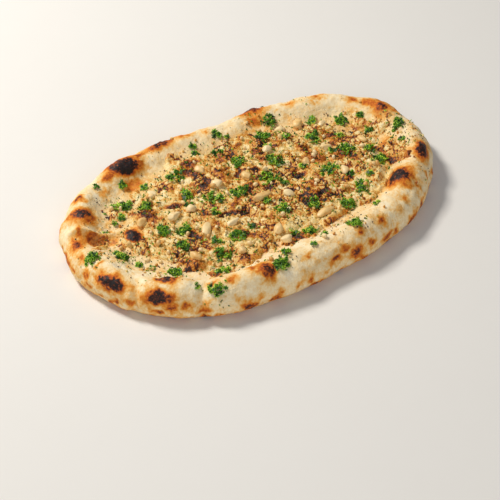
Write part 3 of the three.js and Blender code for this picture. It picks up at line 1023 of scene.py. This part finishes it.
def group(name, numbers, result):
    """An empty shader group that takes a place and named numbers and gives one number."""
    tree = bpy.data.node_groups.new(name, "ShaderNodeTree")
    tree.interface.new_socket("Place", in_out="INPUT", socket_type="NodeSocketVector")
    for label in numbers:
        tree.interface.new_socket(label, in_out="INPUT", socket_type="NodeSocketFloat")
    tree.interface.new_socket(result, in_out="OUTPUT", socket_type="NodeSocketFloat")
    given = tree.nodes.new("NodeGroupInput").outputs
    return tree, given, tree.nodes.new("NodeGroupOutput").inputs[result]


def noise_at(tree, place, scale, detail):
    """Soft noise on the bread, from -0.5 to 0.5."""
    inputs = {"Vector": place, "Scale": scale, "Detail": detail}
    made = put(tree, "ShaderNodeTexNoise", inputs)
    return sums(tree, "SUBTRACT", made.outputs[0], 0.5)


def mottling_group():
    """Wanders a shade up and down in soft patches with fine specks in them."""
    names = ("Shade", "Patch Scale", "Patch Amount", "Speck Scale", "Speck Amount")
    tree, given, made = group("mottling", names, "Shade")
    patch = noise_at(tree, given["Place"], given["Patch Scale"], 3.0)
    speck = noise_at(tree, given["Place"], given["Speck Scale"], 2.0)
    shade = sums(tree, "MULTIPLY_ADD", patch, given["Patch Amount"], given["Shade"])
    shade = sums(tree, "MULTIPLY_ADD", speck, given["Speck Amount"], shade, clamp=True)
    tree.links.new(shade, made)
    return tree


def roughcast_group():
    """The height of a rough surface: coarse lumps, and fine grain on them."""
    names = ("Coarse Scale", "Fine Scale", "Fine Share")
    tree, given, made = group("roughcast", names, "Height")
    inputs = {"Vector": given["Place"], "Scale": given["Coarse Scale"], "Detail": 3.0}
    coarse = put(tree, "ShaderNodeTexNoise", inputs).outputs[0]
    inputs = {"Vector": given["Place"], "Scale": given["Fine Scale"]}
    fine = put(tree, "ShaderNodeTexVoronoi", inputs).outputs["Distance"]
    height = sums(tree, "MULTIPLY_ADD", fine, given["Fine Share"], coarse)
    tree.links.new(height, made)
    return tree


MOTTLING = mottling_group()
ROUGHCAST = roughcast_group()


def finish_named(name, **constants):
    """A material with its tree, its shader and the place of each point on the bread."""
    material = bpy.data.materials.new(name)
    material.use_nodes = True
    tree = material.node_tree
    shader = tree.nodes["Principled BSDF"]
    for label, value in constants.items():
        shader.inputs[label.replace("_", " ")].default_value = value
    return material, tree, shader, tree.nodes.new("ShaderNodeTexCoord").outputs["Object"]


def kept(tree, name):
    """A value that the mesh keeps for each of its points."""
    return put(tree, "ShaderNodeAttribute", attribute_name=name).outputs["Fac"]


def mottled(tree, place, shade, patches, specks):
    """A shade after the mottling group. Patches and specks are each a scale and an amount."""
    inputs = {"Place": place, "Shade": shade}
    inputs["Patch Scale"], inputs["Patch Amount"] = patches
    inputs["Speck Scale"], inputs["Speck Amount"] = specks
    return put(tree, "ShaderNodeGroup", inputs, node_tree=MOTTLING).outputs[0]


def roughened(tree, shader, place, coarse, fine, share, depth):
    """Gives a shader the roughcast group's surface, so many metres deep."""
    inputs = {"Place": place, "Coarse Scale": coarse, "Fine Scale": fine, "Fine Share": share}
    height = put(tree, "ShaderNodeGroup", inputs, node_tree=ROUGHCAST).outputs[0]
    bump = put(tree, "ShaderNodeBump", {"Height": height, "Distance": depth})
    tree.links.new(bump.outputs[0], shader.inputs["Normal"])


def coloured(tree, shader, share, stops):
    """Gives a shader a colour that follows a share through its stops."""
    tree.links.new(scale_of_colours(tree, share, stops), shader.inputs["Base Color"])


# From raw dough to char, and from pale crumb to burnt, whose dark end also paints the shade in the
# bed's clefts: share, red, green and blue.
BROWNING = [
    (0.0, 255, 241, 208), (0.16, 250, 223, 172), (0.30, 240, 186, 104), (0.42, 228, 142, 40),
    (0.54, 196, 96, 18), (0.66, 124, 54, 20), (0.80, 58, 26, 16), (0.92, 18, 9, 8),
    (1.0, 34, 22, 22),
]
CRUMB_COLOURS = [
    (0.0, 254, 234, 180), (0.25, 240, 204, 122), (0.5, 218, 144, 32), (0.68, 172, 82, 6),
    (0.82, 80, 34, 6), (1.0, 26, 16, 12),
]


def crust_finish():
    """Baked dough: cream, toasted and charred by its browning, golden where it is strewn."""
    material, tree, shader, place = finish_named("baked_crust", Specular_IOR_Level=0.35)
    baked = kept(tree, "browning")
    grit = sums(tree, "MULTIPLY_ADD", step_up(tree, baked, 0.48, 0.74), 0.8, 0.3)
    brown = mottled(tree, place, baked, patches=(260.0, 0.28), specks=(640.0, grit))
    dough = scale_of_colours(tree, brown, BROWNING)
    film = mottled(tree, place, 0.4, patches=(70.0, 1.6), specks=(450.0, 1.0))
    butter = mixed(tree, film, paint(255, 240, 202), paint(196, 166, 88))
    oiled = sums(tree, "MULTIPLY", kept(tree, "oiled"), 0.6)
    colour = mixed(tree, oiled, dough, butter, "MULTIPLY")
    toasting = mottled(tree, place, 0.36, patches=(130.0, 0.9), specks=(620.0, 0.8))
    bed = scale_of_colours(tree, toasting, CRUMB_COLOURS)
    strewn = kept(tree, "strewn")
    colour = mixed(tree, sums(tree, "MULTIPLY", strewn, 0.8), colour, bed)
    charred = step_up(tree, brown, 0.5, 0.75)
    colour = mixed(tree, charred, colour, dough)
    tree.links.new(colour, shader.inputs["Base Color"])
    rough = sums(tree, "MULTIPLY_ADD", strewn, -0.22, 0.78)
    rough = sums(tree, "MULTIPLY_ADD", charred, -0.2, rough)
    tree.links.new(rough, shader.inputs["Roughness"])
    roughened(tree, shader, place, coarse=420.0, fine=1100.0, share=0.35, depth=0.5 * MM)
    return material


def topping_finish(name, value, stops, patches, specks, roughness, shine=0.5, **surface):
    """A topping's material: the tone that each piece keeps, mottled, on a rough surface."""
    constants = {"Roughness": roughness, "Specular_IOR_Level": shine}
    material, tree, shader, place = finish_named(name, **constants)
    shade = mottled(tree, place, kept(tree, value), patches, specks)
    coloured(tree, shader, shade, stops)
    roughened(tree, shader, place, **surface)
    return material


def nut_finish():
    """Pale roasted nut, browner in patches, faintly oily."""
    stops = [(0.0, 252, 228, 178), (0.4, 240, 202, 134), (0.7, 214, 152, 70), (1.0, 160, 94, 36)]
    return topping_finish(
        "roasted_nut", "roast", stops, patches=(190.0, 0.8), specks=(700.0, 0.2),
        roughness=0.42, coarse=500.0, fine=1400.0, share=0.2, depth=0.15 * MM,
    )


def crumb_finish():
    """Nut and garlic crumb, each grain and the bed with its own toasting, darker with painted shade
    in the bed's clefts.
    """
    return topping_finish(
        "toasted_crumb", "tone", CRUMB_COLOURS, patches=(300.0, 0.35), specks=(900.0, 0.75),
        roughness=0.45, coarse=700.0, fine=1500.0, share=0.6, depth=0.5 * MM,
    )


def seed_finish():
    """Blackened seed, browner here and there."""
    stops = [(0.0, 34, 25, 28), (0.6, 62, 42, 44), (1.0, 104, 66, 44)]
    return topping_finish(
        "dark_seed", "shade", stops, patches=(400.0, 0.3), specks=(1500.0, 0.4),
        roughness=0.45, coarse=900.0, fine=2000.0, share=0.3, depth=0.15 * MM,
    )


def parsley_finish():
    """Curly parsley: painted shade makes it dark in the folds and a painted highlight makes it
    brighter along the frilled edges; each leaflet's green also varies.
    """
    # from the painted shade of the folds to the painted highlight of the edges
    stops = [
        (0.0, 10, 32, 5), (0.3, 36, 84, 8), (0.55, 90, 148, 8), (0.8, 154, 198, 30),
        (1.0, 222, 240, 90),
    ]
    return topping_finish(
        "parsley_leaf", "edge_light_and_freshness", stops, patches=(220.0, 0.8), specks=(900.0, 0.5),
        roughness=0.46, shine=0.45, coarse=700.0, fine=1500.0, share=0.3, depth=0.15 * MM,
    )


def floor_finish():
    """A plain pale floor with the faintest unevenness in its tone."""
    material, tree, shader, place = finish_named("pale_floor", Roughness=0.7)
    shade = mottled(tree, place, 0.5, patches=(3.0, 0.3), specks=(60.0, 0.1))
    coloured(tree, shader, shade, [(0.0, 228, 226, 222), (1.0, 240, 239, 236)])
    return material


# ---- The studio ----

FLOOR_HALF = 4
FLOOR_DROP = 0.2 * MM  # the floor is this far under the bread, so that the two never share a plane
ROOM_COLOUR = (0.93, 0.95, 1.0, 1)
ROOM_STRENGTH = 0.22
CAMERA_PLACE = (-0.457, -0.6422, 0.6945)
CAMERA_DOWN = 42.97  # degrees that it looks down by
CAMERA_TURN = -33.27  # degrees round from the bread's width
CAMERA_ROLL = -1.32
CAMERA_LENS = 106.1
CAMERA_CLIP = (0.05, 20)


def floor():
    """The floor that the bread lies on."""
    bm = bmesh.new()
    bmesh.ops.create_grid(bm, x_segments=1, y_segments=1, size=FLOOR_HALF)
    mesh = mesh_of(bm, "floor")
    mesh.materials.append(floor_finish())
    plane = placed("floor", mesh)
    plane.location.z = -FLOOR_DROP
    plane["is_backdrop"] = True


def softbox(name, place, size, power, tint):
    """A square soft light that faces the bread."""
    light = bpy.data.lights.new(name, "AREA")
    light.size = size
    light.energy = power
    light.color = tint
    lamp = placed(name, light)
    lamp.location = place
    lamp.rotation_euler = (MIDDLE - Vector(place)).to_track_quat("-Z", "Y").to_euler()


def studio():
    """Soft light from behind on the left, a weak fill from the front left, and a pale room."""
    softbox("key_light", (-0.42, 0.82, 1.1), size=0.32, power=18.6, tint=(1.0, 0.95, 0.87))
    softbox("fill_light", (-0.6, -1.2, 0.8), size=0.9, power=5.8, tint=(1.0, 0.96, 0.91))
    world = bpy.data.worlds.new("room")
    world.use_nodes = True
    room = world.node_tree.nodes["Background"].inputs
    room["Color"].default_value = ROOM_COLOUR
    room["Strength"].default_value = ROOM_STRENGTH
    bpy.context.scene.world = world
    bpy.context.scene.view_settings.view_transform = "Standard"


def camera():
    """The camera: a long lens that looks down on the bread from its front left."""
    lens = bpy.data.cameras.new("camera")
    lens.lens = CAMERA_LENS
    lens.clip_start, lens.clip_end = CAMERA_CLIP
    cam = placed("camera", lens)
    cam.location = CAMERA_PLACE
    aim = Euler((math.radians(90 - CAMERA_DOWN), 0, math.radians(CAMERA_TURN))).to_quaternion()
    cam.rotation_mode = "QUATERNION"
    cam.rotation_quaternion = aim @ Quaternion((0, 1, 0), math.radians(CAMERA_ROLL))
    bpy.context.scene.camera = cam


camera()
studio()
floor()

crust_mesh = naan_crust()
naan = new_piece("naan_crust", crust_mesh, crust_finish())
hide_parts("naan_bread")
crumb_material = crumb_finish()
table = Table(crust_mesh, crumb_bed(Table(crust_mesh), crumb_material))

nut_material = nut_finish()
parsley_material = parsley_finish()
for nut in nodes_of("nut_"):
    nut_piece(nut, table, nut_material)
for bunch in nodes_of("parsley_"):
    sprig(bunch, table, parsley_material)
nut_chips(table, nut_material)
crumbs(table, crumb_material)
seeds(table, seed_finish())
loose_leaves(table, parsley_material)
flecks(table, parsley_material)

boxes = {"cad": cad_box, "visual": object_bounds()}
{name: [list(corner) for corner in box] for name, box in boxes.items()}
